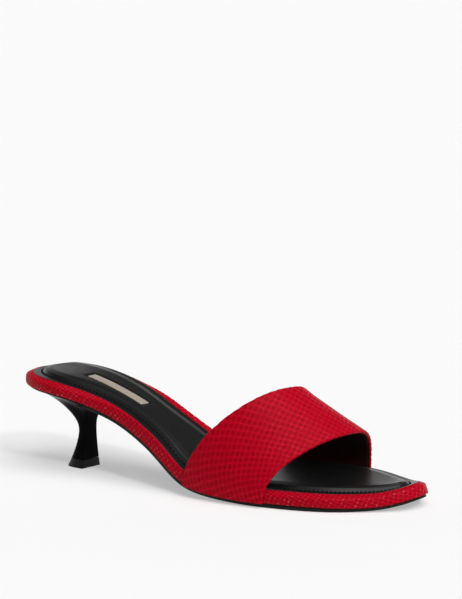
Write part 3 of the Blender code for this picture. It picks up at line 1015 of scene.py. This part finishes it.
def make_sock(look):
    """Insole with a stitched groove, a padded middle and a shallow window for the plate."""
    turns = even_turns(SOCK_STEPS)
    edge = RAND_TOP + FIT_GAP
    inner_inset = GROOVE_INSET + PAD_END
    insets = [edge + inset for inset, _ in SOCK_ROUND]
    insets += list(np.linspace(edge + SOCK_MARGIN_START, GROOVE_INSET - SOCK_MARGIN_END, 5))
    insets += list(np.linspace(GROOVE_INSET - GROOVE_REACH, GROOVE_INSET + GROOVE_REACH, 9))
    insets += list(np.linspace(GROOVE_INSET + PAD_START, inner_inset, 9))
    drops = [drop for _, drop in SOCK_ROUND]
    drops += [0.0] * (len(insets) - len(drops))
    rings = [rim_ring(turns, edge, insole_floor, True)]
    for inset, drop in zip(insets, drops):
        plan = rim_place(turns, np.full(len(turns), inset), True)
        rings.append(sock_ring(plan, sock_height(inset) - drop))
    plan = rim_place(turns, np.full(len(turns), inner_inset), True)
    opposite = np.array([(2 * SOCK_STEPS - k) % len(turns) for k in range(len(turns))])
    middle = (plan + plan[opposite]) / 2
    for step in range(1, SOCK_INNER_ROWS):
        share = step / SOCK_INNER_ROWS
        at = plan + (middle - plan) * share
        room = np.linalg.norm(middle - plan, axis=1) * share
        rings.append(sock_ring(at, sock_height(inner_inset + room)))
    made = add_mesh("insole_sock", *capped(rings, sole_pairs(SOCK_STEPS, len(turns))), look)
    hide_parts("insole")


def stitch_points(turn):
    """Rings of one stitch, whose thread sinks into the groove at both ends."""
    flat = rim_place(turn, np.full(len(turn), GROOVE_INSET), True)
    sink = np.abs(STITCH_ROWS) ** 3 * STITCH_SINK
    lift = margin_height(flat[:, 0] / SHOE_LENGTH, flat[:, 1]) - GROOVE_DEPTH + STITCH_RADIUS - sink
    line = sole_place(flat[:, 0], flat[:, 1], lift)
    forward = line[-1] - line[0]
    forward /= np.linalg.norm(forward)
    side = np.cross(forward, (0, 0, 1))
    side /= np.linalg.norm(side)
    up = np.cross(side, forward)
    angle = 2 * math.pi * np.arange(STITCH_SIDES)[:, None] / STITCH_SIDES
    circle = np.cos(angle) * side + np.sin(angle) * up
    radius = STITCH_RADIUS * np.sqrt(1.02 - np.abs(STITCH_ROWS) ** 4)
    return line[:, None] + radius[:, None, None] * circle


def make_stitches(look):
    """Thread of the insole's seam, one short capsule for each stitch."""
    fine = even_turns(EVEN_SAMPLES)
    run = running_length(rim_place(fine, np.full(len(fine), GROOVE_INSET), True))
    count = round(run[-1] / STITCH_PITCH)
    rows = len(STITCH_ROWS)
    points, faces = [], []
    for stitch in range(count):
        centre = (stitch + 0.5) * run[-1] / count
        turn = np.interp(centre + STITCH_ROWS * STITCH_LENGTH / 2, run, fine)
        first = stitch * rows * STITCH_SIDES
        last = first + (rows - 1) * STITCH_SIDES
        points.append(stitch_points(turn))
        faces += [tuple(first + k for k in face) for face in ring_faces(rows, STITCH_SIDES)]
        faces.append(tuple(range(first, first + STITCH_SIDES)))
        faces.append(tuple(range(last, last + STITCH_SIDES)))
    made = add_mesh("insole_stitches", points, faces, look)


def plate_place(a, b, level):
    """Point by its place along and across the plate and its height over the insole's edge."""
    along = PLATE_FROM_HEEL_BACK + a * HEEL_COS - b * HEEL_SIN
    across = PLATE_OFFSET + a * HEEL_SIN + b * HEEL_COS
    return sole_place(along, across, margin_height(along / SHOE_LENGTH, across) + level)


def make_plate(look):
    """Bare foil plate with softened edges that lies in the insole's window."""
    seat = PAD_RISE - WINDOW_DEPTH
    half_a, half_b = PLATE_LENGTH / 2, PLATE_WIDTH / 2
    inner_a, inner_b = half_a - PLATE_CORNER, half_b - PLATE_CORNER
    turns = np.radians(np.linspace(0, 90, 6))
    arc = np.column_stack([inner_a + PLATE_CORNER * np.cos(turns), inner_b + PLATE_CORNER * np.sin(turns)])
    side = [(a, half_b) for a in np.linspace(inner_a, -inner_a, PLATE_SIDE_STEPS)[1:-1]]
    upper = np.array([(half_a, 0.0), *arc, *side, *(arc[::-1] * (-1, 1)), (-half_a, 0.0)])
    outline = np.concatenate([upper, upper[-2:0:-1] * (1, -1)])
    rings = []
    for inset, level in PLATE_EDGE:
        a = outline[:, 0] * (1 - inset / half_a)
        b = outline[:, 1] * (1 - inset / half_b)
        rings.append(plate_place(a, b, seat + level + 0 * a))
    count = len(outline)
    pairs = [(k, (count - k) % count) for k in range(len(upper))]
    made = add_mesh("foil_plate", *capped(rings, pairs), look)
    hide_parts("label_plate")


# Outsole, heel and tip

def make_outsole(look):
    """Thin outsole with softened edges."""
    start = HEEL_BREAST / SHOE_LENGTH
    turns = even_turns(OUTSOLE_STEPS, start)
    rings = []
    for inset, level, lower in OUTSOLE_EDGE:

        def height(share, _):
            return -FIT_GAP - level * outsole_depth(share) - lower

        rings.append(rim_ring(turns, OUTSOLE_INSET + inset, height))
    made = add_mesh("outsole_edge", *capped(rings, sole_pairs(OUTSOLE_STEPS, len(turns))), look)
    made.data.set_sharp_from_angle(angle=SOFT_ANGLE)
    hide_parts("outsole")


def heel_axis(local):
    """Plan points from the heel's own axes to the shoe's."""
    turn = np.array([[HEEL_COS, HEEL_SIN], [-HEEL_SIN, HEEL_COS]])
    return local @ turn + np.array([0.0, HEEL_FOOT_SHIFT])


def heel_stem_ring(height):
    """Heel section below the neck: half a superellipse with its flat side to the front."""
    flare = (1 - min(height / NECK_HEIGHT, 1)) ** FOOT_FLARE
    front = NECK_FRONT + (FOOT_FRONT - NECK_FRONT) * flare
    back = NECK_BACK + (FOOT_BACK - NECK_BACK) * flare
    width = NECK_WIDTH + (FOOT_WIDTH - NECK_WIDTH) * flare
    angle = np.linspace(0, math.pi, HEEL_STEPS + 1)
    power = 2 / HEEL_SQUARENESS
    across = -np.sign(np.cos(angle)) * np.abs(np.cos(angle)) ** power * width / 2
    along = front - (front + back) * np.sin(angle).clip(0) ** power
    plan = heel_axis(np.stack([along, across], axis=-1))
    return np.column_stack([plan, np.full(len(plan), height)])


def heel_pairs():
    """Pairs of points that face each other across a heel section."""
    return [(k, HEEL_STEPS - k) for k in range(HEEL_STEPS // 2 + 1)]


def seat_ring():
    """Top edge of the heel, under the footbed."""
    breast = math.acos(1 - 2 * (HEEL_BREAST - FIT_GAP) / SHOE_LENGTH) / math.pi
    share = np.linspace(-1, 1, HEEL_STEPS + 1)
    turns = np.where(share <= 0, -share * breast, 2 - share * breast)
    turns = np.where(share > 0, np.minimum(turns, LAST_TURN), turns)
    plan = rim_place(turns, np.full(len(turns), HEEL_SEAT_INSET))
    return sole_place(plan[:, 0], plan[:, 1], np.full(len(plan), -FIT_GAP))


def make_heel(look):
    """Heel block that sweeps from the seat to a narrow neck and flares to its foot."""
    foot = TOP_LIFT_HEIGHT + FIT_GAP
    rings = [heel_stem_ring(height) for height in np.linspace(foot, NECK_HEIGHT, STEM_ROWS)]
    neck, seat = rings[-1], seat_ring()
    lip = seat - np.array([0.0, 0.0, HEEL_SEAT_LIP])
    round_back = np.sin(np.linspace(0, math.pi, HEEL_STEPS + 1)) ** 2
    power = SWEEP_SIDE + (SWEEP_BACK - SWEEP_SIDE) * round_back
    for rise in np.sin(np.linspace(0, math.pi / 2, SWEEP_ROWS + 1))[1:]:
        spread = (rise**power)[:, None]
        ring = neck + (lip - neck) * spread
        ring[:, 2] = neck[:, 2] + (lip[:, 2] - neck[:, 2]) * rise
        rings.append(ring)
    rings.append(seat)
    made = add_mesh("heel_block", *capped(rings, heel_pairs()), look)
    soften(made, HEEL_SOFT)
    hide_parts("heel")


def soften(made, width):
    """Rounded corners, applied to the mesh."""
    edge = made.modifiers.new("softened corners", "BEVEL")
    edge.width = width
    edge.segments = 3
    edge.limit_method = "ANGLE"
    edge.angle_limit = SOFT_ANGLE
    graph = bpy.context.evaluated_depsgraph_get()
    mesh = bpy.data.meshes.new_from_object(made.evaluated_get(graph))
    made.modifiers.clear()
    made.data = mesh
    mesh.shade_smooth()


def make_top_lift(look):
    """Heel tip with softened corners."""
    rings = [heel_stem_ring(height) for height in np.linspace(0, TOP_LIFT_HEIGHT, TIP_ROWS)]
    made = add_mesh("heel_tip", *capped(rings, heel_pairs()), look)
    soften(made, TIP_SOFT)
    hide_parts("top_lift")


# Floor, light and camera

def make_floor():
    """Wide pale floor that glows faintly."""
    bpy.ops.mesh.primitive_plane_add(size=60.0, location=(0, 0, 0))
    floor = bpy.context.active_object
    floor.name = "studio_floor"
    made, _, _, shader = new_material("pale floor")
    shader.inputs["Base Color"].default_value = (FLOOR_WHITE, FLOOR_WHITE, FLOOR_WHITE, 1.0)
    shader.inputs["Roughness"].default_value = 0.9
    shader.inputs["Specular IOR Level"].default_value = 0.0
    shader.inputs["Emission Color"].default_value = (1.0, 1.0, 1.0, 1.0)
    shader.inputs["Emission Strength"].default_value = FLOOR_GLOW
    floor.data.materials.append(made)


def make_world():
    """Dim studio with a bright low backdrop behind the shoe and a soft pale ceiling."""
    world = bpy.data.worlds.new("studio")
    world.use_nodes = True
    nodes, links = world.node_tree.nodes, world.node_tree.links
    place = nodes.new("ShaderNodeTexCoord")
    split = nodes.new("ShaderNodeSeparateXYZ")
    links.new(place.outputs["Generated"], split.inputs["Vector"])
    behind = nodes.new("ShaderNodeVectorMath")
    behind.operation = "DOT_PRODUCT"
    behind.inputs[1].default_value = (-math.sin(CAMERA_AZIMUTH), math.cos(CAMERA_AZIMUTH), 0.0)
    links.new(place.outputs["Generated"], behind.inputs[0])
    height = split.outputs["Z"]
    sideways = span(nodes, links, behind.outputs["Value"], 0.0, BACKDROP_LEVEL, *BACKDROP_SIDES, "SMOOTHSTEP")
    low = span(nodes, links, height, 1.0, 0.0, *BACKDROP_TOP, "SMOOTHSTEP")
    brightest = ROOM_LEVEL + CEILING_LEVEL
    ceiling = span(nodes, links, height, ROOM_LEVEL, brightest, *CEILING_EDGE, "SMOOTHSTEP")
    level = nodes.new("ShaderNodeMath")
    level.operation = "MULTIPLY_ADD"
    links.new(sideways, level.inputs[0])
    links.new(low, level.inputs[1])
    links.new(ceiling, level.inputs[2])
    links.new(level.outputs["Value"], nodes["Background"].inputs["Strength"])
    nodes["Background"].inputs["Color"].default_value = (1, 1, 1, 1)
    bpy.context.scene.world = world


def direction(azimuth, elevation):
    """Unit vector towards an azimuth from the front of the outer side and an elevation."""
    level = math.cos(elevation)
    return Vector((math.sin(azimuth) * level, -math.cos(azimuth) * level, math.sin(elevation)))


def make_lights():
    """Suns from the toe's side and from above, broad and soft or small and sharp."""
    for name, azimuth, elevation, strength, spread, shadow in SUNS:
        light = bpy.data.lights.new(name, "SUN")
        light.energy = strength
        light.angle = math.radians(spread)
        light.use_shadow = shadow
        made = bpy.data.objects.new(name, light)
        towards = direction(math.radians(azimuth), math.radians(elevation))
        made.rotation_euler = towards.to_track_quat("Z", "Y").to_euler()
        made.visible_glossy = shadow
        bpy.context.scene.collection.objects.link(made)


def make_camera():
    """Long lens at the photograph's angle."""
    data = bpy.data.cameras.new("camera")
    data.lens = CAMERA_LENS
    data.sensor_width = 36.0
    data.clip_start = 0.05
    data.clip_end = 200.0
    made = bpy.data.objects.new("camera", data)
    back = direction(CAMERA_AZIMUTH, CAMERA_ELEVATION)
    right = Vector((math.cos(CAMERA_AZIMUTH), math.sin(CAMERA_AZIMUTH), 0.0))
    right = Matrix.Rotation(CAMERA_ROLL, 3, back) @ right
    up = back.cross(right)
    turn = Matrix((right, up, back)).transposed().to_4x4()
    made.matrix_world = Matrix.Translation(CAMERA_PLACE) @ turn
    bpy.context.scene.collection.objects.link(made)
    bpy.context.scene.camera = made


def main():
    make_footbed(red_leather("red rand leather", RAND_GLINT))
    make_strap(red_leather("red strap leather", STRAP_GLINT))
    make_lining(black_leather("black lining", LINING_BLACK, roughness=0.6, grain_size=0.0006))
    make_sock(black_leather("black sock leather", SOCK_BLACK, roughness=0.40, grain_size=0.0005))
    make_stitches(dull_black("black thread", TIP_BLACK, roughness=0.6, grain_scale=4000.0))
    make_plate(pale_foil())
    make_outsole(dull_black("black outsole", SOLE_BLACK, roughness=0.5, grain_scale=900.0))
    make_heel(gloss_black())
    make_top_lift(dull_black("black heel rubber", TIP_BLACK, roughness=0.5, grain_scale=1500.0))
    make_floor()
    make_world()
    make_lights()
    make_camera()
    bpy.context.scene.view_settings.view_transform = "Standard"


main()
